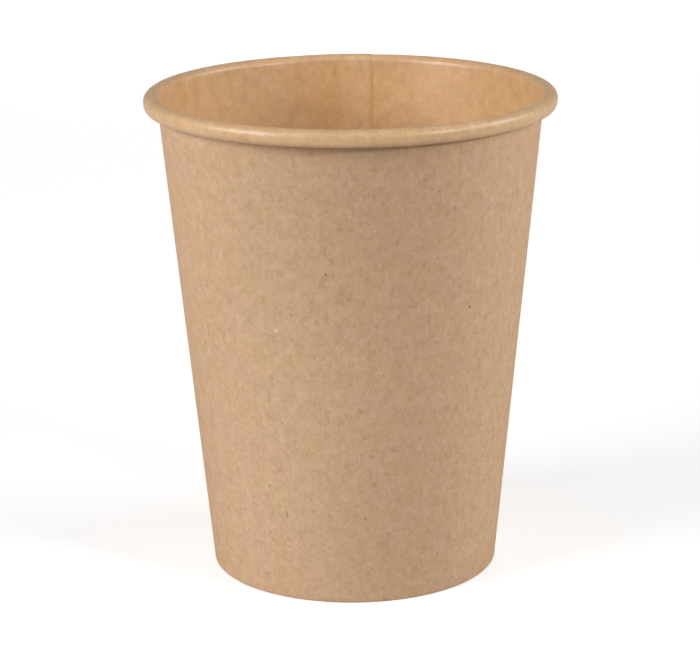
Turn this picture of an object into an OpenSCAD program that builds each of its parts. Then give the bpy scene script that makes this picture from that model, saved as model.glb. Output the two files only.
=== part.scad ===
// Single-wall paper cup for hot drinks.
//
// Two pieces of coated board make it. The side wall is one fan-shaped blank, wrapped round into
// a cone and sealed where its ends lap. Its top edge is rolled outwards into the rim, and its
// bottom edge is folded inwards and up. The base disc is a round blank with its edge turned
// down into a skirt, which the folded foot grips between two plies.
//
// The cup stands on the XY plane with its axis on Z. Sizes are in millimetres.

/* [Cup] */
// Outer diameter across the rolled rim
rim_d = 80; // [66:0.5:96]
// Height from the table to the top of the rim
cup_h = 95; // [70:0.5:140]
// Outer diameter of the foot, taken where the wall's outer face would reach the table
base_d = 56.4; // [46:0.1:68]

/* [Board] */
// Thickness of the side wall's board
wall_t = 0.35; // [0.25:0.01:0.45]
// Thickness of the base disc's board
base_t = 0.3; // [0.2:0.01:0.4]
// Clearance between two plies that are sealed together
seal_gap = 0.02; // [0.01:0.005:0.04]

/* [Rolled rim] */
// Width of the oval that the rim is rolled to
rim_w = 3; // [2.4:0.1:3.8]
// Height of the oval that the rim is rolled to
rim_h = 3.3; // [3:0.1:4.4]
// How far the blank's edge runs up again inside the roll
rim_tuck = 0.6; // [0.2:0.1:1]

/* [Foot] */
// Height of the base disc's underside above the table
floor_h = 6; // [4.5:0.1:9]
// Gap between the folded hem's edge and the base disc
hem_gap = 0.8; // [0.4:0.1:1.5]
// How much of the fold is pressed flat where the cup stands
foot_press = 0.03; // [0.01:0.01:0.08]
// Gap between the base disc's skirt and the bottom of the fold
skirt_gap = 0.2; // [0.1:0.05:0.5]
// Radius on the inside of the bend between the base disc and its skirt
disc_bend_r = 0.4; // [0.2:0.1:0.8]

/* [Seam] */
// Width of the lap, where the blank's two ends overlap
lap_w = 7.7; // [5:0.1:10]
// Direction of the lap's middle, in degrees from +X towards +Y
lap_at = 89; // [0:1:359]
// Angle over which the outer ply swings out to clear the inner ply's end, in degrees
lap_swing = 30; // [20:5:60]
// How far the doubled board stands out on the rim
lap_rise = 0.08; // [0.05:0.01:0.2]

/* [Hidden] */

kraft_outside = [0.76, 0.62, 0.47];
kraft_base = [0.74, 0.58, 0.41];

turn_fn = 240; // steps of a full turn round the cup's axis
bend_fn = 64;  // steps of a full circle in the section

half_t = wall_t / 2;

// The wall's section is drawn in a frame that leans with the wall: its origin is the centre of
// the rim's top bend, X is square to the board and points out, and Y runs up along the board.
bend_out = rim_w / 2;         // radius on the outside of the rim's bend
bend_mid = bend_out - half_t; // the same at the middle of the board
bend_in = bend_out - wall_t;  // and on the inside of the bend
roll_at = [rim_d / 2 - bend_out, cup_h - bend_out];

// The outer face starts at the foot's edge and is tangent to the inside of the rim's bend
foot_edge = [base_d / 2, 0];
to_roll = roll_at - foot_edge;
wall_lean = 90 - atan2(to_roll.y, to_roll.x) - asin(bend_in / norm(to_roll));
out_dir = [cos(wall_lean), -sin(wall_lean)];
up_dir = [sin(wall_lean), cos(wall_lean)];

// The roll closes with a tighter bend, so that the edge lies against the outside of the wall
close_mid = bend_mid - (wall_t + seal_gap) / 2;
close_x = bend_mid - close_mid;
roll_side = rim_h - bend_out - close_mid - half_t; // straight side of the oval

// Fold at the foot: a half turn that leaves room for the base disc's skirt between the plies
fold_mid = (wall_t + base_t) / 2 + seal_gap;
fold_out = fold_mid + half_t;
fold_x = -bend_mid - fold_mid;
fold_at_z = fold_out - foot_press;
fold_y = (fold_at_z - roll_at.y + fold_x * sin(wall_lean)) / cos(wall_lean);
hem_y = fold_y + (floor_h - hem_gap - fold_at_z) / cos(wall_lean);

// Lap: between these heights the outer ply lies on the outside of the wall
lap_foot = 2 * fold_out;
lap_head = roll_at.y - roll_side;
// The outer ply's cone is shifted towards the lap and made smaller, so that it leaves the wall
// lap_swing degrees before the lap and stands one board out at the lap
swing_shift = wall_t / (1 - cos(lap_swing));
swing_shrink = swing_shift - wall_t;
swing_fade = 1.5; // height over which the inner ply's end fades out below the roll

// Radius of the cone a distance out from the wall's outer face, at a height above the table
function cone_r(off, z) = base_d / 2 + z * tan(wall_lean) + off / cos(wall_lean);

// A straight run of board in the leaning frame, between two distances out and two heights
module run(x_low, x_high, y_low, y_high) {
    translate([x_low, y_low]) square([x_high - x_low, y_high - y_low]);
}

// Half a ring: the part above its centre, or below it when it is turned over
module half_bend(centre, r_low, r_high, above) {
    translate(centre)
        intersection() {
            difference() {
                circle(r_high, $fn = bend_fn);
                circle(r_low, $fn = bend_fn);
            }
            translate([-2 * r_high, above ? 0 : -2 * r_high]) square([4 * r_high, 2 * r_high]);
        }
}

// The wall's leaning frame, set into the section plane
module leaning() {
    translate(roll_at) rotate(-wall_lean) children();
}

// The side wall's whole section, from the edge inside the roll to the hem's edge
module wall_section() {
    close_left = close_x - close_mid;
    intersection() {
        leaning() {
            run(close_left - half_t, close_left + half_t, -roll_side, rim_tuck - roll_side);
            half_bend([close_x, -roll_side], close_mid - half_t, close_mid + half_t, false);
            run(bend_in, bend_out, -roll_side, 0);
            half_bend([0, 0], bend_in, bend_out, true);
            run(-bend_out, -bend_in, fold_y, 0);
            half_bend([fold_x, fold_y], fold_mid - half_t, fold_out, false);
            run(fold_x - fold_out, fold_x - fold_mid + half_t, fold_y, hem_y);
        }
        square([rim_d, 2 * cup_h]);
    }
}

// Frame of the lap: X points out through its middle and Y runs round the cup
module at_lap() {
    rotate([0, 0, lap_at]) children();
}

// A block in the frame of the lap, between two widths
module lap_block(y_low, y_high) {
    translate([0, y_low, 0]) cube([rim_d, y_high - y_low, 2 * cup_h]);
}

// The outer ply where it swings out and covers the inner ply, up to its own cut edge
module outer_ply() {
    height = lap_head - lap_foot;
    at_lap()
        intersection() {
            difference() {
                translate([swing_shift, 0, lap_foot])
                    cylinder(
                        h = height,
                        r1 = cone_r(0, lap_foot) - swing_shrink,
                        r2 = cone_r(0, lap_head) - swing_shrink,
                        $fn = turn_fn
                    );
                // What would lie deeper than the wall's board is cut away, with a face inside it
                cylinder(
                    h = cup_h,
                    r1 = cone_r(-0.3 * wall_t, 0),
                    r2 = cone_r(-0.7 * wall_t, cup_h),
                    $fn = turn_fn
                );
            }
            lap_block(-base_d / 2, lap_w / 2);
        }
}

// The shallow hollow inside the cup that the outer ply leaves next to the inner ply's end
module swing_hollow() {
    floor_top = floor_h + base_t;
    fade_z = roll_at.y - swing_fade;
    fade_r = cone_r(-wall_t, roll_at.y) - swing_shift - 0.05;
    at_lap()
        intersection() {
            translate([swing_shift, 0, 0])
                rotate_extrude($fn = turn_fn)
                    polygon([
                        [0, floor_top],
                        [cone_r(-wall_t, floor_top) - swing_shrink, floor_top],
                        [cone_r(-wall_t, fade_z) - swing_shrink, fade_z],
                        [fade_r, roll_at.y],
                        [0, roll_at.y]
                    ]);
            lap_block(-base_d / 2, -lap_w / 2);
        }
}

// The doubled board on the roll, one lap wide, which rises out of the wall's inner face
module rim_lap() {
    shift = 0.6 * lap_rise;
    grow = 0.5 * lap_rise;
    at_lap()
        intersection() {
            rotate_extrude($fn = turn_fn)
                leaning() {
                    difference() {
                        translate([shift, shift]) circle(bend_out + grow, $fn = bend_fn);
                        circle(bend_mid, $fn = bend_fn);
                        translate([-2 * rim_w, -4 * rim_w]) square(4 * rim_w);
                    }
                    run(bend_mid, bend_out + shift + grow, -roll_side, shift);
                    difference() {
                        translate([close_x + shift, -roll_side])
                            circle(close_mid + half_t + grow, $fn = bend_fn);
                        translate([close_x, -roll_side]) circle(close_mid, $fn = bend_fn);
                        translate([-2 * rim_w, -roll_side]) square(4 * rim_w);
                    }
                }
            lap_block(-lap_w / 2, lap_w / 2);
        }
}

// Side wall: wrapped, lapped, rolled at the top and folded in at the bottom
module side_wall() {
    color(kraft_outside) {
        difference() {
            union() {
                rotate_extrude($fn = turn_fn) wall_section();
                outer_ply();
            }
            swing_hollow();
        }
        rim_lap();
    }
}

// What lies under the base disc's face and inside its skirt, a distance below that face
module under_disc(inset) {
    floor_top = floor_h + base_t;
    bend_r = disc_bend_r + base_t;
    bend_z = floor_top - bend_r;
    bend_at = [cone_r(-wall_t - seal_gap - bend_r, bend_z), bend_z];
    skirt_top = bend_at + (bend_r - inset) * out_dir;
    skirt_z = fold_at_z - fold_mid + half_t + skirt_gap;
    past_end = inset > 0 ? 1 : 0;
    skirt_end = skirt_top - ((skirt_top.y - skirt_z) / cos(wall_lean) + past_end) * up_dir;
    polygon([
        [0, floor_top - inset],
        [0, skirt_end.y],
        skirt_end - 2 * base_t * out_dir,
        skirt_end,
        skirt_top,
        [bend_at.x, floor_top - inset]
    ]);
    // A hair larger than the bend, so that it crosses the lines it is tangent to
    translate(bend_at) circle(bend_r - inset + 0.0001, $fn = bend_fn);
}

// Base disc: flat, with its edge bent down into the skirt
module base_disc() {
    color(kraft_base)
        rotate_extrude($fn = turn_fn)
            difference() {
                under_disc(0);
                under_disc(base_t);
            }
}

side_wall();
base_disc();
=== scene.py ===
# %% [markdown]
# # A kraft paper cup
# This lesson dresses a paper cup for hot drinks. The cup is two pieces of coated board: the
# side wall, wrapped into a cone with a lapped seam, a rolled rim and a folded foot, and the
# base disc, which the foot grips by its skirt. The solids come in first as a fixed frame, so
# everything that follows is drawn in the same place and at the same size, in metres.
# %% Load the frame
from math import asin, atan2, cos, degrees, hypot, pi, radians, sin, tan

import bpy
import numpy as np
from mathutils import Euler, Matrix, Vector


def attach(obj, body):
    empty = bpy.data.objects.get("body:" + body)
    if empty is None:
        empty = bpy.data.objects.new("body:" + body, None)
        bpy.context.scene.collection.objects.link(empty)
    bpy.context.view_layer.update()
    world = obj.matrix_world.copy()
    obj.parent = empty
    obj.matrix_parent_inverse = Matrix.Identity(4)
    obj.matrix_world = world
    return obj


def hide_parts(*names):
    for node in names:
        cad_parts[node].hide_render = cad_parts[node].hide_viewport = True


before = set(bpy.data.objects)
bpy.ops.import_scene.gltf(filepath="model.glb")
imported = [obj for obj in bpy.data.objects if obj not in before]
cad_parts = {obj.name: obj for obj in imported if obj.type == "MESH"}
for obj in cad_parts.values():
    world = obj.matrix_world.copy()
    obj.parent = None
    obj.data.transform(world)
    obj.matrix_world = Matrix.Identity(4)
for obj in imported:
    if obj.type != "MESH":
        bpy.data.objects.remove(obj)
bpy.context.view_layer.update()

print("nodes in the frame:", sorted(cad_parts))

# %% [markdown]
# ## Sizes
# The board is thinner than a fingernail, so its folds and rolls are worked out in millimetres
# and turned into metres only when a mesh is made. These are the sizes that the solids were
# made with. Only the rim is smaller and lower, by up to a hundredth of a millimetre, so that
# nothing stands proud of the solids.
# %% Sizes of the cup, in millimetres
MM = 0.001
RIM_D, CUP_H, BASE_D = 79.98, 94.995, 56.4
WALL_T, BASE_T, SEAL_GAP = 0.35, 0.30, 0.02
RIM_W, RIM_H, RIM_TUCK = 3.0, 3.3, 0.6
FLOOR_H, HEM_GAP, FOOT_PRESS = 6.0, 0.8, 0.03
SKIRT_GAP, DISC_BEND_R = 0.2, 0.4
LAP_W, LAP_AT = 7.7, radians(89)
HALF_T = WALL_T / 2
print("board", WALL_T, "mm, rim", RIM_D, "mm, height", CUP_H, "mm")

# %% [markdown]
# ## Camera
# The photograph looks down on the cup by about sixteen degrees from half a metre away, with
# a long lens. Its place was found by fitting the rim, the wall and the foot to the outline.
# Blender's camera looks along its own -Z, so it is pointed at the middle of the cup, and then
# rolled a little, because the cup leans by half a degree in the picture. A slight shift of
# the lens sets the cup's middle a few pixels off the frame's, as it is there.
# %% Camera
IMAGE_W = 700
IMAGE_MIDDLE = (350.0, 328.0)
CUP_MIDDLE = (352.74, 325.87)
FOCAL_PX = 2662.6
VIEW_DISTANCE = 0.52694
VIEW_RISE = radians(15.889)
VIEW_ROLL = radians(0.567)
SENSOR_W, NEAREST = 36, 0.01

target = Vector((0, 0, CUP_H / 2 * MM))
camera_data = bpy.data.cameras.new("photo_camera")
camera_data.sensor_width = SENSOR_W
camera_data.lens = FOCAL_PX / IMAGE_W * SENSOR_W
camera_data.shift_x = (IMAGE_MIDDLE[0] - CUP_MIDDLE[0]) / IMAGE_W
camera_data.shift_y = (CUP_MIDDLE[1] - IMAGE_MIDDLE[1]) / IMAGE_W
camera_data.clip_start = NEAREST
camera = bpy.data.objects.new("photo_camera", camera_data)
bpy.context.scene.collection.objects.link(camera)
camera.location = target + VIEW_DISTANCE * Vector((0, -cos(VIEW_RISE), sin(VIEW_RISE)))
aim = (target - camera.location).to_track_quat("-Z", "Y")
camera.rotation_euler = (aim @ Euler((0, 0, -VIEW_ROLL)).to_quaternion()).to_euler()
bpy.context.scene.camera = camera
print("lens", round(camera_data.lens, 1), "mm")

# %% [markdown]
# ## The line of the board
# Cut the cup open and the side wall shows as one long line: down the hem inside the foot,
# round the fold, up the wall, over the rim and round inside it. A revolved curve could make
# it, but the blank has two ends that overlap, so the line is kept as points and laid round
# by hand. Its frame leans with the wall: the origin is the centre of the rim's top bend, X is
# square to the board and points out, and Y runs up along the board.
# %% Where the rim's roll and the foot's fold lie
BEND_OUT = RIM_W / 2
BEND_MID = BEND_OUT - HALF_T
BEND_IN = BEND_OUT - WALL_T
roll_at = np.array([RIM_D / 2 - BEND_OUT, CUP_H - BEND_OUT])
to_roll = roll_at - np.array([BASE_D / 2, 0])
LEAN = pi / 2 - atan2(to_roll[1], to_roll[0]) - asin(BEND_IN / hypot(*to_roll))
out_dir = np.array([cos(LEAN), -sin(LEAN)])
up_dir = np.array([sin(LEAN), cos(LEAN)])

CLOSE_MID = BEND_MID - (WALL_T + SEAL_GAP) / 2
CLOSE_X = BEND_MID - CLOSE_MID
ROLL_SIDE = RIM_H - BEND_OUT - CLOSE_MID - HALF_T
FOLD_MID = (WALL_T + BASE_T) / 2 + SEAL_GAP
FOLD_OUT = FOLD_MID + HALF_T
FOLD_X = -BEND_MID - FOLD_MID
FOLD_Z = FOLD_OUT - FOOT_PRESS
FOLD_Y = (FOLD_Z - roll_at[1] + FOLD_X * sin(LEAN)) / cos(LEAN)
HEM_Y = FOLD_Y + (FLOOR_H - HEM_GAP - FOLD_Z) / cos(LEAN)
print("the wall leans", round(degrees(LEAN), 2), "degrees")

# %% [markdown]
# A bend is an arc and the rest is straight, so two helpers draw every part of the line. Each
# leaves out its first point, which is the last point of the part before.
# %% Arcs and straight runs


def arc(centre, radius, start, end, steps):
    """Points on an arc between two angles in degrees, without its first point."""
    turn = np.radians(np.linspace(start, end, steps + 1)[1:])
    return np.stack([centre[0] + radius * np.cos(turn), centre[1] + radius * np.sin(turn)], 1)


def straight(start, end, stops):
    """Points on a straight run, at shares of its length."""
    share = np.array(stops)[:, None]
    return np.array(start) * (1 - share) + np.array(end) * share


print("a quarter turn in two steps:", arc((0, 0), 1, 0, 90, 2).round(2).tolist())

# %% [markdown]
# The line starts at the hem's cut edge and ends at the edge inside the roll. Its points lie
# closer together in the bends, and near the fold and the rim, where the lap changes quickly.
# Each part keeps its name, because the marks of the machine lie on some parts only.
# %% The board's middle line
FOLD_STEPS, RIM_STEPS, CLOSE_STEPS = 14, 24, 16
HALVES = [0.5, 1]
HEM_STOPS = [0.1, 0.3, 0.5, 0.7, 0.9, 1]
NEAR_FOLD = [0.006, 0.02, 0.045, 0.08]
UP_WALL = np.linspace(0.12, 0.88, 15)
NEAR_RIM = [0.93, 0.96, 0.98, 0.99, 1]
wall_stops = np.concatenate([NEAR_FOLD, UP_WALL, NEAR_RIM])
hem_x = FOLD_X - FOLD_MID
tuck_x = CLOSE_X - CLOSE_MID
runs = [
    ("hem", np.array([[hem_x, HEM_Y]])),
    ("hem", straight((hem_x, HEM_Y), (hem_x, FOLD_Y), HEM_STOPS)),
    ("fold", arc((FOLD_X, FOLD_Y), FOLD_MID, 180, 360, FOLD_STEPS)),
    ("wall", straight((-BEND_MID, FOLD_Y), (-BEND_MID, 0), wall_stops)),
    ("roll", arc((0, 0), BEND_MID, 180, 0, RIM_STEPS)),
    ("roll", straight((BEND_MID, 0), (BEND_MID, -ROLL_SIDE), HALVES)),
    ("roll", arc((CLOSE_X, -ROLL_SIDE), CLOSE_MID, 0, -180, CLOSE_STEPS)),
    ("tuck", straight((tuck_x, -ROLL_SIDE), (tuck_x, RIM_TUCK - ROLL_SIDE), HALVES)),
]
line = np.concatenate([points for name, points in runs])
zone = np.concatenate([[name] * len(points) for name, points in runs])
print("rows of the board:", {name: int((zone == name).sum()) for name in dict(runs)})

# %% [markdown]
# The two faces of the board lie square to this line. So each point also gets the direction
# of the coated side, which is the direction along the line turned by a quarter. Then both go
# from the leaning frame to the cup's own, with the distance from its axis and the height.
# %% Directions square to the line
steps = np.diff(line, axis=0)
run_length = np.concatenate([[0], np.cumsum(np.hypot(steps[:, 0], steps[:, 1]))])
along = np.gradient(line, run_length, axis=0)
along /= np.hypot(along[:, 0], along[:, 1])[:, None]
coated_side = np.stack([-along[:, 1], along[:, 0]], 1)
section = roll_at + line[:, :1] * out_dir + line[:, 1:] * up_dir
section_side = coated_side[:, :1] * out_dir + coated_side[:, 1:] * up_dir
print("the line is", round(run_length[-1], 1), "mm long")

# %% [markdown]
# ## Wrapping the blank
# The blank starts as the inner ply at one edge of the lap, goes once round the cup and ends
# as the outer ply at the lap's other edge, so its two ends make a small step inside and
# outside. The lap keeps the same width all the way up, so its angle shrinks towards the rim.
# Columns are crowded together at the lap's edges, where the board bends in a short space.
# %% Columns round the cup
LAP_COLUMNS, BESIDE_COLUMNS, ROUND_COLUMNS = 44, 30, 384
BESIDE_LAP = 0.2
lap_share = -np.cos(np.linspace(0, pi, LAP_COLUMNS + 1))
beside_share = np.linspace(0, 1, BESIDE_COLUMNS + 1)[1:] ** 2 * BESIDE_LAP
round_share = np.linspace(0, 1, ROUND_COLUMNS + 1)[1:-1]


def column_angles(lap_half):
    """Angles from the lap's middle for every column, from each row's half lap."""
    lap = lap_share * lap_half
    beside = lap_half + beside_share
    first = np.concatenate([lap, beside], 1)
    last = 2 * pi - first[:, ::-1]
    around = first[:, -1:] * (1 - round_share) + last[:, :1] * round_share
    return np.concatenate([first, around, last], 1)


radius = section[:, :1]
lap_half = np.arcsin(LAP_W / 2 / radius)
angles = column_angles(lap_half)
print("columns of the board:", angles.shape[1])

# %% [markdown]
# ## How the two plies make room for each other
# The lap is pressed in a different way on each part of the cup. So three shares say where
# a row of the board lies: on the roll, in the foot, or on the wall between them. They run
# smoothly into each other, and always add up to one.
# %% Shares of the roll, the foot and the wall
ROLL_STARTS, ROLL_FULL = -1.6, -0.1
FOOT_FADE = 3


def step_up(value, low, high):
    """Smoothly from 0 to 1 between two values."""
    share = np.clip((value - low) / (high - low), 0, 1)
    return share * share * (3 - 2 * share)


height_on_wall = line[:, 1]
on_roll = np.where(zone == "wall", step_up(height_on_wall, ROLL_STARTS, ROLL_FULL), 0)
on_roll = np.where((zone == "roll") | (zone == "tuck"), 1, on_roll)[:, None]
in_foot = np.where(zone == "wall", 1 - step_up(height_on_wall, FOLD_Y, FOLD_Y + FOOT_FADE), 0)
in_foot = np.where((zone == "hem") | (zone == "fold"), 1, in_foot)[:, None]
on_wall = 1 - on_roll - in_foot
print("rows on the plain wall:", int((on_wall == 1).sum()))

# %% [markdown]
# On the wall the inner ply keeps to the cone and the outer ply swings out round it. On the
# roll both are squeezed, and the inner ply shows as a slight rise. In the foot the press
# has flattened the two to one thickness. Each is a small move of the board's coated face or
# of its bare face, which fades out beside the lap. The plies stay a hundredth of a millimetre
# apart, so that no face lies in another.
# %% Moves of the two faces at the lap
INNER_FADE, OUTER_FADE = 4, 4.5
SQUEEZED, RIM_RISE, RIM_DIP, PLY_GAP = 0.28, 0.06, 0.06, 0.01


def fade(distance, reach):
    """1 at the lap, falling smoothly to 0 beside it."""
    return 1 / (1 + (np.maximum(distance, 0) / reach) ** 2) ** 1.5


past_outer_end = (angles - lap_half) * radius
before_inner_end = (2 * pi - lap_half - angles) * radius
inner_ply = fade(past_outer_end, INNER_FADE) * (angles < pi)
outer_ply = fade(before_inner_end, OUTER_FADE) * (angles > pi)

dip_on_wall, dip_in_foot = SQUEEZED + PLY_GAP, HALF_T + PLY_GAP
outer_dip = dip_on_wall * on_wall + RIM_DIP * on_roll + dip_in_foot * in_foot
hollow_on_wall, hollow_on_roll = WALL_T - SQUEEZED, WALL_T - RIM_DIP + PLY_GAP
inner_hollow = hollow_on_wall * on_wall + hollow_on_roll * on_roll + HALF_T * in_foot
coated_move = inner_ply * RIM_RISE * on_roll - outer_ply * outer_dip
bare_move = outer_ply * SQUEEZED * on_wall - inner_ply * inner_hollow
print("the outer ply swings out by up to", round(float(bare_move.max()), 2), "mm")

# %% [markdown]
# The sealing bar squeezes the lap while the film is hot. It rounds the two cut edges, so
# that they show as soft lines: each is pressed by so much at the edge itself, and less and
# less over a short reach.
# %% Rounded cut edges
INNER_EDGE, OUTER_EDGE = (0.23, 1.1), (0.12, 0.6)
INNER_EDGE_ON_ROLL = 0.3


def rounded_edge(distance, press, reach):
    """How far the board is pressed in near a cut edge: more and more, up to the edge itself."""
    share = np.clip(1 - distance / reach, 0, 1)
    return press * share * share


from_inner_end = (angles + lap_half) * radius
from_outer_end = (2 * pi + lap_half - angles) * radius
inner_edge_rows = on_wall + INNER_EDGE_ON_ROLL * on_roll
coated_move -= rounded_edge(from_inner_end, *INNER_EDGE) * inner_edge_rows
bare_move -= rounded_edge(from_outer_end, *OUTER_EDGE) * on_wall
print("the cut edges are pressed by", INNER_EDGE[0], "and", OUTER_EDGE[0], "mm")

# %% [markdown]
# The bar also leaves the wall almost flat across the lap, above the base disc. Under the rim
# it prints the hidden edge of the outer ply through to the inside, as a fine groove.
# %% Flat and print of the sealing bar
FLAT_AT, FLAT_DEPTH, FLAT_REACH = -3.2, 0.28, 5.5
FLAT_FROM, FLAT_FULL = FLOOR_H + BASE_T + 0.2, FLOOR_H + BASE_T + 8
PRINT_DEPTH, PRINT_WIDTH, PRINT_DROP, PRINT_FADE = 0.05, 0.22, 3.6, 0.4
turned_back = np.where(angles > pi, angles - 2 * pi, angles)
from_flat = (turned_back * radius - FLAT_AT) / FLAT_REACH
above_disc = step_up(section[:, 1:], FLAT_FROM, FLAT_FULL)
both_move = FLAT_DEPTH * np.exp(-from_flat ** 2) * on_wall * above_disc

print_share = step_up(height_on_wall, -PRINT_DROP, PRINT_FADE - PRINT_DROP)
print_rows = np.where(zone == "wall", print_share, 0)[:, None]
print_line = np.exp(-((turned_back - lap_half) * radius / PRINT_WIDTH) ** 2) * (angles < pi)
coated_move -= PRINT_DEPTH * print_line * print_rows * on_wall
print("the wall is flattened by up to", round(float(both_move.max()), 2), "mm")

# %% [markdown]
# Inside the roll the blank's edge runs up again against the outside of the wall. At the lap
# the wall stands further out there, so the tucked edge is moved out as well, to clear it.
# %% Room for the tucked edge
TUCK_ROOM, TUCK_RUN = 0.18, 2.4
tuck_start = run_length[zone == "tuck"][0]
tuck_rows = step_up(run_length, tuck_start - TUCK_RUN, tuck_start)[:, None]
both_move -= TUCK_ROOM * (inner_ply + outer_ply) * tuck_rows
print("rows moved at the tuck:", int((tuck_rows > 0).sum()))

# %% [markdown]
# The hem is pressed against the skirt by a knurled wheel, which leaves short ribs on the
# side that faces the middle of the cup. They are part of the mesh, so they show from below.
# %% Ribs of the knurled hem
RIBS, RIB_DEPTH = 84, 0.05
RIBS_START, RIBS_END = (0.12, 0.25), (0.85, 0.97)
hem_share = (line[:, 1] - FOLD_Y) / (HEM_Y - FOLD_Y)
rib_share = step_up(hem_share, *RIBS_START) * (1 - step_up(hem_share, *RIBS_END))
rib_rows = np.where(zone == "hem", rib_share, 0)[:, None]
bare_move = bare_move - rib_rows * RIB_DEPTH * (0.5 - 0.5 * np.cos(RIBS * angles))
print("ribs on the hem:", RIBS)

# %% [markdown]
# Now the two faces can be laid round the cup. Each point starts on the board's middle line
# and goes out by half a board and its own move, square to the line. The foot's fold is
# pressed on the table, so nothing goes below it.
# %% Lay both faces of the board round the cup


def laid_round(face_move, side):
    """Grid of points in metres of one face: side is 1 for the coated face and -1 for the bare."""
    reach = both_move + side * (HALF_T + face_move)
    r = section[:, :1] + reach * section_side[:, :1]
    z = np.maximum(section[:, 1:] + reach * section_side[:, 1:], 0)
    turn = angles + LAP_AT
    return np.stack([r * np.cos(turn), r * np.sin(turn), z], 2) * MM


coated_face = laid_round(coated_move, 1)
bare_face = laid_round(bare_move, -1)
print("across the rim:", round(float(np.ptp(coated_face[:, :, 0]) / MM), 2), "mm")

# %% [markdown]
# The texture of the paper has to lie on the flat blank as it did before it was wrapped, with
# its grain straight. A cone unrolls to a fan, so each point's place on the fan is worked out
# here. Three more numbers serve the marks that the machine left: the way round the rim and the
# way along the board, for the streaks of the roll, and the distance from the lap's inner edge.
# %% Where each point lay on the flat blank
fan_edge = BASE_D / 2 / sin(LEAN)
past_foot = (run_length - run_length[zone == "wall"][0])[:, None]
fan_radius = fan_edge + past_foot
fan_turn = (angles - pi) * sin(LEAN)
nothing = np.zeros_like(angles)
fan_y = fan_radius * np.cos(fan_turn) - fan_edge
blank = np.stack([fan_radius * np.sin(fan_turn), fan_y, nothing], 2)
streaks = np.stack([(angles - pi) * RIM_D / 2, past_foot + nothing, from_inner_end], 2)
print("blank, flat:", np.ptp(blank[:, :, 0]).round(1), "by", np.ptp(fan_y).round(1), "mm")

# %% [markdown]
# ## From two grids to one closed sheet
# A sheet of board is two grids of points, one for each face, joined by a strip along every
# cut edge. Each face gets its own material, because the inside of the cup has a film and the
# outside is bare kraft. A wall has four cut edges. A disc closes up into a ring, so it has
# only one, and a single face with many corners fills the middle of each side.
# %% Faces of a sheet
COATED, BARE, CUT = 0, 1, 2


def sheet_faces(rows, cols, ring):
    """The faces of a sheet, their materials, and the strips along its cut edges."""
    count = rows * cols
    index = np.arange(count).reshape(rows, cols)
    if ring:
        index = np.concatenate([index, index[:, :1]], 1)
    a, b, c, d = index[:-1, :-1], index[:-1, 1:], index[1:, 1:], index[1:, :-1]
    front = np.stack([a, d, c, b], 2).reshape(-1, 4)
    back = np.stack([a, b, c, d], 2).reshape(-1, 4) + count
    edges = [index[-1]]
    middles = []
    if ring:
        middles = [index[0, :-1].tolist(), (index[0, -2::-1] + count).tolist()]
    else:
        edges += [index[0, ::-1], index[:, 0], index[::-1, -1]]
    strips = [np.stack([e[:-1], e[:-1] + count, e[1:] + count, e[1:]], 1) for e in edges]
    faces = np.concatenate([front, back, *strips]).tolist() + middles
    counts = [len(front), len(back), sum(map(len, strips))] + [1] * len(middles)
    paint = np.repeat([COATED, BARE, CUT, COATED, BARE][:len(counts)], counts)
    return faces, paint.astype(np.int32), strips


print("a sheet of 3 by 4 points has", len(sheet_faces(3, 4, False)[0]), "faces")

# %% [markdown]
# The place of every point on the flat blank is kept as an attribute, so that the paper's
# fibres run as they did before the blank was wrapped. The shading is smooth over a face, and
# sharp along both sides of a cut edge.
# %% Attributes and sharp edges of a sheet


def keep_places(mesh, places):
    """Keeps each named place as an attribute of the points, the same for both faces."""
    for key, place in places.items():
        kept = mesh.attributes.new(key, "FLOAT_VECTOR", "POINT")
        both = np.concatenate([place.reshape(-1, 3)] * 2)
        kept.data.foreach_set("vector", both.astype(np.float32).ravel())


def sharpen_cuts(mesh, strips):
    """Marks the two long sides of every strip as sharp, and counts them."""
    cut_keys = set()
    for quad in np.concatenate(strips).tolist():
        cut_keys.add(tuple(sorted((quad[0], quad[3]))))
        cut_keys.add(tuple(sorted((quad[1], quad[2]))))
    keys = np.zeros(len(mesh.edges) * 2, np.int32)
    mesh.edges.foreach_get("vertices", keys)
    sharp = [tuple(sorted(pair)) in cut_keys for pair in keys.reshape(-1, 2).tolist()]
    mark = mesh.attributes.new("sharp_edge", "BOOLEAN", "EDGE")
    mark.data.foreach_set("value", sharp)
    return sum(sharp)


wall_places = {"blank": blank, "streaks": streaks}
print("each point of the wall keeps its place on:", sorted(wall_places))

# %% [markdown]
# One call makes a mesh from plain lists of points and faces, which is much quicker than
# adding them one by one. The side wall is made first, and the base disc goes the same way.
# %% The side wall
def sheet_piece(name, coated, bare, places, ring=False):
    """A closed piece from two grids. With ring, the columns close up into a disc."""
    faces, paint, strips = sheet_faces(*coated.shape[:2], ring)
    mesh = bpy.data.meshes.new(name)
    points = np.concatenate([coated.reshape(-1, 3), bare.reshape(-1, 3)])
    mesh.from_pydata(points.tolist(), [], faces)
    mesh.polygons.foreach_set("material_index", paint)
    keep_places(mesh, places)
    mesh.shade_smooth()
    sharp = sharpen_cuts(mesh, strips)
    mesh.update()
    piece = bpy.data.objects.new(name, mesh)
    bpy.context.scene.collection.objects.link(piece)
    print(name, "has", sum(len(face) - 2 for face in faces), "triangles,", sharp, "sharp edges")
    return piece


side_wall = sheet_piece("wrapped_wall", coated_face, bare_face, wall_places)

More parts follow.
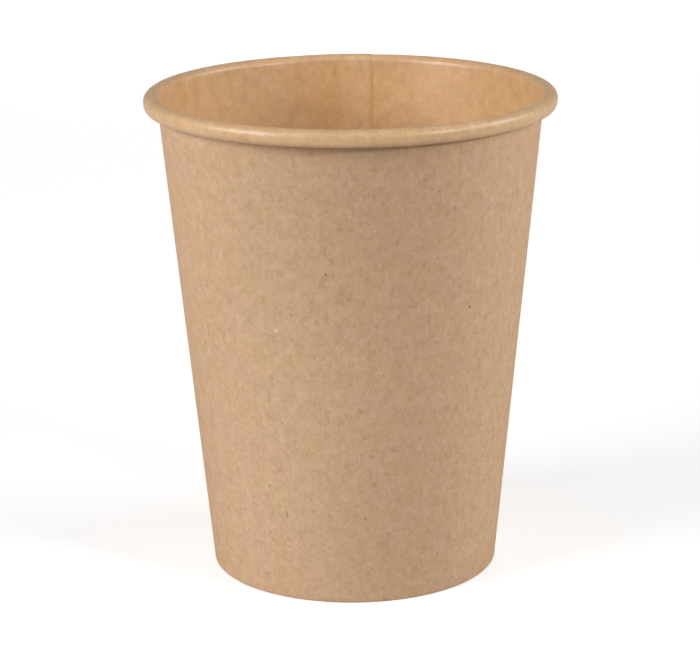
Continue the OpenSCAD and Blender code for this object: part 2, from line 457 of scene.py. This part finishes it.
# %% [markdown]
# ## Base disc
# The base disc is a second blank: flat in the middle, with its edge turned down into a
# skirt that leans with the wall. Its section is drawn once for each face: the flat, the bend
# and the skirt.
# %% Section of the base disc
BEND_STEPS, FLAT_STEPS = 10, 12
DISC_MIDDLE, FLAT_STARTS, FLAT_ENDS, BEFORE_BEND = 1.0, 2.0, 1.5, 0.6
SKIRT_STOPS = [0.15, 0.5, 0.85, 1]
bend_r = DISC_BEND_R + BASE_T
bend_z = FLOOR_H + BASE_T - bend_r
bend_x = BASE_D / 2 + bend_z * tan(LEAN) - (WALL_T + SEAL_GAP + bend_r) / cos(LEAN)
skirt_z = FOLD_Z - FOLD_MID + HALF_T + SKIRT_GAP
skirt_length = (bend_z - bend_r * sin(LEAN) - skirt_z) / cos(LEAN)
skirt_drop = np.array(SKIRT_STOPS)[:, None] * skirt_length
bend_turn = np.radians(np.linspace(90, -degrees(LEAN), BEND_STEPS + 1))
bend_way = np.stack([np.cos(bend_turn), np.sin(bend_turn)], 1)
flat_stops = np.linspace(FLAT_STARTS, bend_x - FLAT_ENDS, FLAT_STEPS)
flat_r = np.concatenate([[DISC_MIDDLE], flat_stops, [bend_x - BEFORE_BEND]])


def disc_section(height, radius_of_bend):
    """One face of the disc: flat, round the bend and down the skirt."""
    flat = np.stack([flat_r, 0 * flat_r + height], 1)
    bend = np.array([bend_x, bend_z]) + radius_of_bend * bend_way
    return np.concatenate([flat, bend, bend[-1] - skirt_drop * up_dir])


disc_top = disc_section(FLOOR_H + BASE_T, bend_r)
disc_under = disc_section(FLOOR_H, DISC_BEND_R)
print("the skirt is", round(skirt_length, 1), "mm long")

# %% [markdown]
# The two sections are turned round the cup's axis. The disc lies flat as it is, so a point's
# place on the blank is its own way out from the middle. That way is too short to reach a
# roll, and its distance from a lap is set to 0, so the marks of roll and lap stay off it.
# %% The base disc
DISC_COLUMNS = 360
disc_angle = np.linspace(0, 2 * pi, DISC_COLUMNS + 1)[None, :-1]


def turned(r, z):
    """A grid of points: distances from the axis and heights, turned round it."""
    return np.stack([r * np.cos(disc_angle), r * np.sin(disc_angle), z + 0 * disc_angle], 2)


disc_steps = np.diff(disc_top, axis=0)
disc_out = np.cumsum(np.hypot(disc_steps[:, 0], disc_steps[:, 1]))
disc_run = DISC_MIDDLE + np.concatenate([[0], disc_out])[:, None]
no_lap = 0 * disc_run * disc_angle
disc_streaks = np.stack([disc_angle * BASE_D / 2 + no_lap, disc_run + no_lap, no_lap], 2)
disc_places = {"blank": turned(disc_run, 0 * disc_run), "streaks": disc_streaks}
coated_disc = turned(disc_top[:, :1], disc_top[:, 1:]) * MM
bare_disc = turned(disc_under[:, :1], disc_under[:, 1:]) * MM
base_disc = sheet_piece("pressed_base", coated_disc, bare_disc, disc_places, ring=True)

# %% [markdown]
# ## Writing shader maths
# A node tree is easier to read as sums than as boxes and wires. This class wraps one socket
# of a tree: adding or multiplying two of them adds a Math node, and node() adds any other.
# %% A socket that can be used in sums


class Socket:
    """One output socket of a material's node tree."""

    def __init__(self, tree, socket=None):
        self.tree = tree
        self.socket = socket

    def node(self, kind, settings=None, sockets=None, out=0):
        """Adds a node: its settings are set first, and then the values or links of its sockets."""
        made = self.tree.nodes.new(kind)
        for name, value in (settings or {}).items():
            setattr(made, name, value)
        for name, value in (sockets or {}).items():
            if isinstance(value, Socket):
                self.tree.links.new(value.socket, made.inputs[name])
            else:
                made.inputs[name].default_value = value
        return Socket(self.tree, made.outputs[out] if made.outputs else None)

    def maths(self, operation, first, second):
        """Adds a Math node."""
        return self.node("ShaderNodeMath", {"operation": operation}, {0: first, 1: second})

    def __add__(self, other):
        return self.maths("ADD", self, other)

    def __radd__(self, other):
        return self.maths("ADD", other, self)

    def __sub__(self, other):
        return self.maths("SUBTRACT", self, other)

    def __rsub__(self, other):
        return self.maths("SUBTRACT", other, self)

    def __mul__(self, other):
        return self.maths("MULTIPLY", self, other)

    def __rmul__(self, other):
        return self.maths("MULTIPLY", other, self)

    def between(self, low, high, new_low=0.0, new_high=1.0):
        """The value taken smoothly from one range to another, and kept in it."""
        settings = {"interpolation_type": "SMOOTHSTEP"}
        sockets = {0: self, 1: low, 2: high, 3: new_low, 4: new_high}
        return self.node("ShaderNodeMapRange", settings, sockets)

    def hump(self, rise_from, rise_to, fall_from, fall_to):
        """0, up to 1, and down to 0 again, as the value grows."""
        return self.between(rise_from, rise_to) * self.between(fall_from, fall_to, 1, 0)


print("a socket can:", [name for name, part in vars(Socket).items() if callable(part)])

# %% [markdown]
# Colours can't go through a Math node, which would turn them grey. They go through Mix and
# Vector Math nodes, and these helpers keep the sockets' numbers in one place. A tint has
# three parts and a mixed colour has four, because that is what the two nodes' sockets take.
# %% Helpers for colours


def mixed(share, first, second):
    """Between two colours, by a share that varies over the surface."""
    settings = {"data_type": "RGBA"}
    return share.node("ShaderNodeMix", settings, {0: share, 6: first, 7: second}, out=2)


def brightened(colour, amount):
    """A colour made brighter or darker by an amount that varies over the surface."""
    settings = {"operation": "SCALE"}
    return amount.node("ShaderNodeVectorMath", settings, {0: colour, "Scale": amount})


def tinted(colour, tint):
    """A colour multiplied by another, part by part."""
    return colour.node("ShaderNodeVectorMath", {"operation": "MULTIPLY"}, {0: colour, 1: tint})


def tinted_where(share, colour, tint):
    """A colour that takes a tint by a share that varies over the surface."""
    return mixed(share, colour, tinted(colour, tint))


colour_helpers = (mixed, brightened, tinted, tinted_where)
print("helpers for colours:", [helper.__name__ for helper in colour_helpers])

# %% [markdown]
# A texture is read at a place on the flat blank, which can be stretched and shifted first, so
# that two textures of one kind don't fall on each other. A material ends in a Principled
# shader. Its relief goes through a Bump node, and a number that is the same all over the
# surface is set on the shader itself.
# %% Helpers for places and materials


def read_place(start, name):
    """A place in millimetres that the mesh keeps for each of its points."""
    return start.node("ShaderNodeAttribute", {"attribute_name": name}, out=1)


def placed(place, scale=(1, 1, 1), shift=(0, 0, 0)):
    """A place, stretched and shifted, for a texture to read."""
    sockets = {"Vector": place, "Scale": scale, "Location": shift}
    return place.node("ShaderNodeMapping", sockets=sockets)


def noise(place, scale, detail, roughness):
    """Soft clouds, about as many to a millimetre as the scale says."""
    sockets = {"Vector": place, "Scale": scale, "Detail": detail, "Roughness": roughness}
    return place.node("ShaderNodeTexNoise", sockets=sockets)


def new_material(name):
    """An empty material, and a socket to start its sums from."""
    material = bpy.data.materials.new(name)
    material.use_nodes = True
    material.node_tree.nodes.clear()
    return material, Socket(material.node_tree)


def finish_material(shade, height, strength, depth, shader_values):
    """Closes a material: its colour, its relief in millimetres, and the shader's other values."""
    sockets = {"Height": height, "Strength": strength, "Distance": depth * MM}
    relief = shade.node("ShaderNodeBump", sockets=sockets)
    sockets = {"Base Color": shade, "Normal": relief, **shader_values}
    shader = shade.node("ShaderNodeBsdfPrincipled", sockets=sockets)
    shader.node("ShaderNodeOutputMaterial", sockets={"Surface": shader})


place_helpers = (read_place, placed, noise)
print("helpers for places:", [helper.__name__ for helper in place_helpers])

# %% [markdown]
# ## Hairs in the pulp
# Kraft is brown wood pulp that isn't bleached. Single fibres show on it as short bent hairs,
# some darker and some paler than the rest. The borders of random cells make good hairs, once
# a noise has bent them and a second noise has hidden most of them.
# %% Hairs
HAIR_WIDTH = 0.11
NOISE_MIDDLE = (0.5, 0.5, 0.5)
BEND_CELLS, BEND_BY = 0.9, (2.2, 2.2, 0)
HAIRS_HIDDEN, HAIRS_SHOWN = 0.53, 0.61


def hairs(place, cells):
    """1 on short bent hairs: the edges of warped cells, kept only in scattered places."""
    sockets = {"Vector": place, "Scale": BEND_CELLS}
    swirl = place.node("ShaderNodeTexNoise", sockets=sockets, out=1)
    sockets = {0: swirl, 1: NOISE_MIDDLE}
    bend = place.node("ShaderNodeVectorMath", {"operation": "SUBTRACT"}, sockets)
    sockets = {0: bend, 1: BEND_BY, 2: place}
    bent = place.node("ShaderNodeVectorMath", {"operation": "MULTIPLY_ADD"}, sockets)
    sockets = {"Vector": bent, "Scale": cells}
    edge = place.node("ShaderNodeTexVoronoi", {"feature": "DISTANCE_TO_EDGE"}, sockets)
    scatter = noise(placed(place, shift=(11, 5, 0)), scale=0.8, detail=1, roughness=0.5)
    hair = 1 - edge.between(0, HAIR_WIDTH * cells)
    return hair * scatter.between(HAIRS_HIDDEN, HAIRS_SHOWN)


print("hairs reach", HAIR_WIDTH, "mm to each side of a border")

# %% [markdown]
# ## Clouds in the pulp
# Held close, kraft is cloudy at every size, because its fibres settle in flocks. Two noises
# with octaves of nearly equal strength give that: one for the clouds, a few millimetres wide,
# and one for the flocks within them. A darker cloud is also a deeper brown, so its blue falls
# faster than its red. A third, slow noise pushes the brown a little towards pink or yellow.
# %% Pulp: clouds, flocks, warmth and hairs
CLOUD_TINT = (0.5, 0.625, 0.8)
FLOCK_SHARE = 0.6
WARMTH_RANGE = (0.3, 0.7)
YELLOWER, PINKER = (1.0, 1.006, 0.955, 1), (1.0, 0.994, 1.045, 1)
DARK_HAIR, PALE_HAIR = (0.85, 0.80, 0.73), (1.09, 1.11, 1.14)


def pulp_shade(place, colour, cloud_depth, cloud_roughness, hair_strength):
    """The paper's colour, and its clouds for the bump."""
    cloud_place = placed(place, scale=(1.1, 0.9, 1))
    clouds = noise(cloud_place, scale=0.35, detail=4.5, roughness=cloud_roughness)
    flock_place = placed(place, scale=(1.2, 0.8, 1), shift=(40, 9, 0))
    flocks = noise(flock_place, scale=0.9, detail=3, roughness=0.85)
    share = 0.5 + (clouds - 0.5) * cloud_depth + (flocks - 0.5) * cloud_depth * FLOCK_SHARE
    deep = [part * (1 - tint) for part, tint in zip(colour, CLOUD_TINT)] + [1]
    light = [part * (1 + tint) for part, tint in zip(colour, CLOUD_TINT)] + [1]
    warmth = noise(placed(place, shift=(7, 80, 3)), scale=0.2, detail=3, roughness=0.8)
    warmed = mixed(warmth.between(*WARMTH_RANGE), YELLOWER, PINKER)
    shade = tinted(mixed(share, deep, light), warmed)
    dark_hairs = hairs(placed(place, scale=(1.1, 0.6, 1), shift=(3, 50, 0)), cells=0.75)
    pale_hairs = hairs(placed(place, scale=(0.8, 1, 1), shift=(90, 20, 0)), cells=0.9)
    shade = tinted_where(dark_hairs * hair_strength, shade, DARK_HAIR)
    return tinted_where(pale_hairs * hair_strength, shade, PALE_HAIR), clouds


print("a full cloud changes red, green and blue by shares of", CLOUD_TINT)

# %% [markdown]
# ## Specks
# Specks of bark and dyed fibre are rare and sharp. Most are scattered by a texture of cells:
# every cell has one centre, and only a part of the cells, picked by their random colour,
# shows a speck there.
# %% Specks scattered over the whole sheet
SPECK_CELLS, SPECK_SOLID, SHARP_STEP = 0.14, 0.35, 0.001
BARK = (0.20, 0.12, 0.07, 1)


def specked(shade, place, size, share, strength):
    """The colour with specks of bark, of a size in millimetres, in a share of the cells."""
    sockets = {"Vector": place, "Scale": SPECK_CELLS}
    distance = place.node("ShaderNodeTexVoronoi", sockets=sockets, out=0)
    colour = place.node("ShaderNodeTexVoronoi", sockets=sockets, out=1)
    pick = place.node("ShaderNodeSeparateColor", sockets={0: colour}, out=0)
    reach = size / 2 * SPECK_CELLS
    speck = 1 - distance.between(SPECK_SOLID * reach, reach)
    shown = pick.between(1 - share, 1 - share + SHARP_STEP)
    return mixed(speck * shown * strength, shade, BARK)


print("one cell is about", round(1 / SPECK_CELLS, 1), "mm wide")

# %% [markdown]
# The front of this cup shows a dozen flecks that the eye returns to, so they are listed one by
# one: the turn from the front in degrees, the height, the fleck's width and length in
# millimetres, and its strength. Two broad patches are set in the same way: painted shade
# high up in the middle of the front, where the rim shades the wall, and painted light low
# down on the left, the side that the large lamp lights.
# %% Flecks and patches of the front
DARK_FLECKS = [
    (40.3, 58.4, 0.50, 0.55, 0.95),
    (-8.1, 67.1, 0.45, 0.50, 0.75),
    (-32.1, 23.3, 0.32, 0.50, 0.65),
    (4.0, 17.7, 0.34, 0.48, 0.65),
    (-25.4, 17.6, 0.30, 1.40, 0.50),
    (52.8, 61.4, 0.50, 0.34, 0.55),
    (-25.0, 36.7, 0.28, 0.36, 0.55),
    (-0.7, 38.8, 0.26, 0.42, 0.50),
    (13.7, 72.7, 0.42, 0.42, 0.50),
    (38.2, 11.1, 0.28, 0.46, 0.50),
    (24.0, 82.8, 0.36, 0.40, 0.45),
    (9.9, 47.0, 0.38, 0.38, 0.42),
    (-8.0, 71.5, 0.30, 1.90, 0.28),
]
PALE_FLECKS = [(-25.3, 55.4, 0.60, 0.55, 0.8)]
# Painted shade high on the front's middle, and painted light low on its left.
PAINTED_SHADE_PATCH = [(-1.0, 83.0, 27.0, 38.0, 1.0)]
PAINTED_LIGHT_PATCH = [(-38.0, 14.0, 17.0, 50.0, 1.0)]
print("flecks set by hand:", len(DARK_FLECKS) + len(PALE_FLECKS))

# %% [markdown]
# Each fleck goes to its place on the flat blank, where the texture is read, and becomes a
# soft oval round it. The strongest fleck wins where two meet.
# %% Set the flecks on the blank
FLECK_SPREAD = 1.7
FLECK_EDGE, PATCH_EDGE = (0.4, 1.25), (0, 2)
FRONT = radians(-90)
wall_start_z = section[zone == "wall"][0, 1]


def on_blank(turn, height):
    """Where a place on the cup's outside lay on the flat blank."""
    fan = ((FRONT + radians(turn) - LAP_AT) % (2 * pi) - pi) * sin(LEAN)
    reach = fan_edge + (height - wall_start_z) / cos(LEAN)
    return reach * sin(fan), reach * cos(fan) - fan_edge


def set_flecks(place, flecks, edge=FLECK_EDGE):
    """The strength of the flecks, which fade out across their edge."""
    strongest = 0.0
    for turn, height, width, length, strength in flecks:
        x, y = on_blank(turn, height)
        scale = (FLECK_SPREAD / width, FLECK_SPREAD / length, 0)
        beside = placed(place, scale, (-x * scale[0], -y * scale[1], 0))
        off = place.node("ShaderNodeVectorMath", {"operation": "LENGTH"}, {0: beside}, out=1)
        fleck = off.between(*edge, strength, 0.0)
        strongest = fleck.maths("MAXIMUM", strongest, fleck)
    return strongest


first_place = on_blank(*DARK_FLECKS[0][:2])
print("the first fleck lies on the blank at", [round(part, 1) for part in first_place], "mm")

# %% [markdown]
# ## The board's outside
# Outside, the board is bare: matt, and rough enough to catch light on its clouds. The bump
# is a few hundredths of a millimetre deep, like the real surface.
# %% Bare kraft
KRAFT = (0.635, 0.416, 0.258)
# Tints for the painted shade and the painted light on the front.
PAINTED_SHADE_TINT, PAINTED_LIGHT_TINT = (0.89, 0.88, 0.87), (1.07, 1.08, 1.09)
BLEACHED = (0.86, 0.72, 0.56, 1)


def bare_kraft():
    """The matt outside of the board, with its flecks."""
    material, start = new_material("bare_kraft")
    place = read_place(start, "blank")
    pulp = {"cloud_depth": 0.55, "cloud_roughness": 0.88, "hair_strength": 0.7}
    shade, clouds = pulp_shade(place, KRAFT, **pulp)
    # Painted shade and painted light, laid into the colour of the front.
    shade = tinted_where(set_flecks(place, PAINTED_SHADE_PATCH, PATCH_EDGE), shade, PAINTED_SHADE_TINT)
    shade = tinted_where(set_flecks(place, PAINTED_LIGHT_PATCH, PATCH_EDGE), shade, PAINTED_LIGHT_TINT)
    shade = specked(shade, place, size=0.42, share=0.25, strength=0.5)
    shade = mixed(set_flecks(place, DARK_FLECKS), shade, BARK)
    shade = mixed(set_flecks(place, PALE_FLECKS), shade, BLEACHED)
    matt = {"Roughness": 0.9, "Specular IOR Level": 0.15}
    finish_material(shade, clouds, strength=0.5, depth=0.04, shader_values=matt)
    return material


print("bare kraft:", KRAFT)

# %% [markdown]
# ## The board's inside
# The film on the inside fills the pores, which deepens the brown and gives it a soft gloss.
# The rolled rim turns that side out, so it is the same finish. Where the board is bent so
# tightly the film pales, crazes into fine streaks across the roll, and follows the board's
# slight cockles. Along the seam a paler band beside the cut edge is painted sheen, on the lap
# that the sealing bar pressed flat, and just under the rim a darker line is painted shade in
# the fine groove where the hidden ply ends.
# %% Marks of rolling, and painted sheen and shade along the seam
ROLL_FROM, ROLL_SOFT = float(past_foot[zone == "roll"][0, 0]), 0.6
# Bands and tints of painted sheen on the lap and painted shade in the groove under the rim.
LAP_SHEEN_BAND = (0, 1.2, 4.5, 7.5)
GROOVE_SHADE_BAND = (LAP_W - 0.7, LAP_W, LAP_W, LAP_W + 0.7)
UNDER_ROLL = (ROLL_FROM - 4, ROLL_FROM - 3, ROLL_FROM - 0.8, ROLL_FROM)
PAINTED_LAP_SHEEN, PAINTED_GROOVE_SHADE, STRETCHED = (1.02, 1.06, 1.13), (0.90, 0.87, 0.83), (1.01, 1.045, 1.15)
CRAZING_SHADE, CRAZING_DEPTH, COCKLE_DEPTH = 0.25, 0.5, 10


def roll_marks_and_painted_seam_light(start, shade):
    """The shade with the roll's marks and painted sheen and shade at the seam, and the roll's
    height.
    """
    way = read_place(start, "streaks")
    along_board = start.node("ShaderNodeSeparateXYZ", sockets={0: way}, out=1)
    past_lap = start.node("ShaderNodeSeparateXYZ", sockets={0: way}, out=2)
    roll = along_board.between(ROLL_FROM - ROLL_SOFT, ROLL_FROM + ROLL_SOFT)
    crazing = noise(placed(way, scale=(1, 0.3, 0)), scale=0.8, detail=3, roughness=0.75)
    shade = brightened(shade, 1 + (crazing - 0.5) * roll * CRAZING_SHADE)
    shade = tinted_where(roll, shade, STRETCHED)
    # Painted sheen on the lap, which the sealing bar pressed flat.
    shade = tinted_where(past_lap.hump(*LAP_SHEEN_BAND), shade, PAINTED_LAP_SHEEN)
    # Painted shade in the fine groove where the hidden ply ends, just under the rim.
    groove_shade = past_lap.hump(*GROOVE_SHADE_BAND) * along_board.hump(*UNDER_ROLL)
    shade = tinted_where(groove_shade, shade, PAINTED_GROOVE_SHADE)
    cockle_place = placed(way, scale=(1, 1, 0), shift=(30, 0, 0))
    cockle = noise(cockle_place, scale=0.22, detail=2, roughness=0.5)
    return shade, (crazing * CRAZING_DEPTH + cockle * COCKLE_DEPTH) * roll


print("the roll starts", round(ROLL_FROM, 1), "mm along the board")

# %% [markdown]
# The clouds of the inside are read from another part of the sheet, and mirrored, so that the
# two faces don't show the same pulp. The film is a little rougher over the paler clouds.
# %% Coated kraft
KRAFT_COATED = (0.68, 0.406, 0.187)
CLOUD_RANGE, FILM_ROUGHNESS = (0.3, 0.7), (0.46, 0.58)


def coated_kraft():
    """The coated side of the board, which is the cup's inside and the outside of its rim."""
    material, start = new_material("coated_kraft")
    place = placed(read_place(start, "blank"), scale=(-1, 1, 1), shift=(500, 300, 0))
    pulp = {"cloud_depth": 0.5, "cloud_roughness": 0.65, "hair_strength": 0.45}
    shade, clouds = pulp_shade(place, KRAFT_COATED, **pulp)
    shade = specked(shade, place, size=0.36, share=0.2, strength=0.35)
    shade, roll_height = roll_marks_and_painted_seam_light(start, shade)
    film = {"Specular IOR Level": 0.45, "Coat Weight": 0.65, "Coat Roughness": 0.34}
    film["Roughness"] = clouds.between(*CLOUD_RANGE, *FILM_ROUGHNESS)
    height = clouds + roll_height
    finish_material(shade, height, strength=0.3, depth=0.04, shader_values=film)
    return material


print("coated kraft:", KRAFT_COATED)

# %% [markdown]
# ## The cut edges
# A cut edge shows the middle of the board: paler, fluffy and fully matt. It is so narrow
# that its pulp is drawn three times finer than on the faces.
# %% Cut edge
KRAFT_CUT = (0.66, 0.47, 0.31)
FINER = (3, 3, 3)


def cut_edge():
    """The pale middle of the board, where it is cut."""
    material, start = new_material("cut_edge")
    place = placed(read_place(start, "blank"), FINER)
    pulp = {"cloud_depth": 0.7, "cloud_roughness": 0.8, "hair_strength": 1.0}
    shade, clouds = pulp_shade(place, KRAFT_CUT, **pulp)
    matt = {"Roughness": 0.95, "Specular IOR Level": 0.1}
    finish_material(shade, clouds, strength=0.8, depth=0.05, shader_values=matt)
    return material


print("cut edge:", KRAFT_CUT)

# %% [markdown]
# Both pieces are cut from coated board, so both get the same three finishes, in the order of
# the numbers that their faces were given.
# %% Give every piece its three finishes
finishes = [coated_kraft(), bare_kraft(), cut_edge()]
for piece in (side_wall, base_disc):
    for material in finishes:
        piece.data.materials.append(material)
print("nodes of each finish:", {each.name: len(each.node_tree.nodes) for each in finishes})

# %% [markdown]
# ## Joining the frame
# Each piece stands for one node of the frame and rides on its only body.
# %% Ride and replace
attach(side_wall, "root")
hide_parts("side_wall")
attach(base_disc, "root")
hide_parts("base_disc")
print("pieces:", [side_wall.name, base_disc.name])

# %% [markdown]
# ## Floor
# The cup stands on a plain floor that looks white but keeps the cup's soft shadow. Brighter
# lamps would bleach the cup as well, so the floor is a pale grey that also glows, and only
# for rays that come straight from the camera, or in part from a gloss. The Light Path node
# tells these rays apart.
# %% Rays that see the background itself
GLOSS_SEES = 0.3
CAMERA_RAY, GLOSSY_RAY, CLEAR_RAY = 0, 3, 6


def seen_directly(start):
    """1 for a ray from the camera, less for one from a gloss, and 0 for light on the cup."""
    camera_ray, glossy_ray, clear_ray = [
        start.node("ShaderNodeLightPath", out=ray) for ray in (CAMERA_RAY, GLOSSY_RAY, CLEAR_RAY)
    ]
    mirrored = glossy_ray.maths("MAXIMUM", glossy_ray * GLOSS_SEES, clear_ray)
    return camera_ray.maths("MAXIMUM", camera_ray, mirrored)


print("a gloss sees", GLOSS_SEES, "of the background's white")

# %% Floor
FLOOR_REACH = 3.0
FLOOR_GREY, WHITE = (0.6, 0.6, 0.6, 1), (1, 1, 1, 1)
FLOOR_GLOW = 0.6
corner_ways = [(-1, -1), (1, -1), (1, 1), (-1, 1)]
corners = [(x * FLOOR_REACH, y * FLOOR_REACH, 0) for x, y in corner_ways]
floor_mesh = bpy.data.meshes.new("floor")
floor_mesh.from_pydata(corners, [], [(0, 1, 2, 3)])
floor = bpy.data.objects.new("floor", floor_mesh)
bpy.context.scene.collection.objects.link(floor)
floor_paint, start = new_material("white_floor")
plain = start.node("ShaderNodeBsdfDiffuse", sockets={"Color": FLOOR_GREY})
glow = start.node("ShaderNodeEmission", sockets={"Color": WHITE, "Strength": FLOOR_GLOW})
seen = start.node("ShaderNodeAddShader", sockets={0: plain, 1: glow})
shares = {0: seen_directly(start), 1: plain, 2: seen}
surface = start.node("ShaderNodeMixShader", sockets=shares)
surface.node("ShaderNodeOutputMaterial", sockets={"Surface": surface})
floor_mesh.materials.append(floor_paint)
print("the floor reaches", FLOOR_REACH, "m each way")

# %% [markdown]
# The world behind the floor is white for the same rays, and dark for the rest, so that it
# doesn't light the cup.
# %% World
world = bpy.data.worlds.new("studio")
bpy.context.scene.world = world
world.use_nodes = True
world.node_tree.nodes.clear()
start = Socket(world.node_tree)
white_where_seen = {"Color": WHITE, "Strength": seen_directly(start)}
background = start.node("ShaderNodeBackground", sockets=white_where_seen)
background.node("ShaderNodeOutputWorld", sockets={"Surface": background})
print("nodes of the world:", len(world.node_tree.nodes))

# %% [markdown]
# ## Light
# Five soft lamps light the cup at a plain level. The large one from the left makes the
# bright side of the wall and the highlight on the left of the rim. A weaker one fills the
# right, and a small one at the right front makes the second highlight on the rim. A faint
# one looks down from above. The last one is low behind the cup and lifts the edges of the
# wall. It is hidden from gloss, which would mirror it along the rim.
# %% Lamps
LAMP_DISTANCE = 1.2


def lamp(name, turn, rise, size, power):
    """A square soft lamp aimed at the cup, turned to the camera's right and raised."""
    data = bpy.data.lights.new(name, "AREA")
    data.shape = "SQUARE"
    data.size = size
    data.energy = power
    made = bpy.data.objects.new(name, data)
    bpy.context.scene.collection.objects.link(made)
    a, e = radians(turn), radians(rise)
    made.location = target + LAMP_DISTANCE * Vector((sin(a) * cos(e), -cos(a) * cos(e), sin(e)))
    made.rotation_euler = (target - made.location).to_track_quat("-Z", "Y").to_euler()
    return made


lamps = [
    lamp("left", turn=-60, rise=25, size=0.6, power=11.8),
    lamp("top", turn=0, rise=62, size=0.6, power=1.4),
    lamp("right", turn=92, rise=25, size=0.6, power=6.2),
    lamp("right_front", turn=52, rise=24, size=0.2, power=4.5),
    lamp("back", turn=180, rise=7, size=0.3, power=5.8),
]
lamps[-1].visible_glossy = False
print("lamps:", [made.name for made in lamps])

# %% [markdown]
# ## Finish
# Standard view keeps the colours as they are written.
# %% View settings
bpy.context.scene.view_settings.view_transform = "Standard"
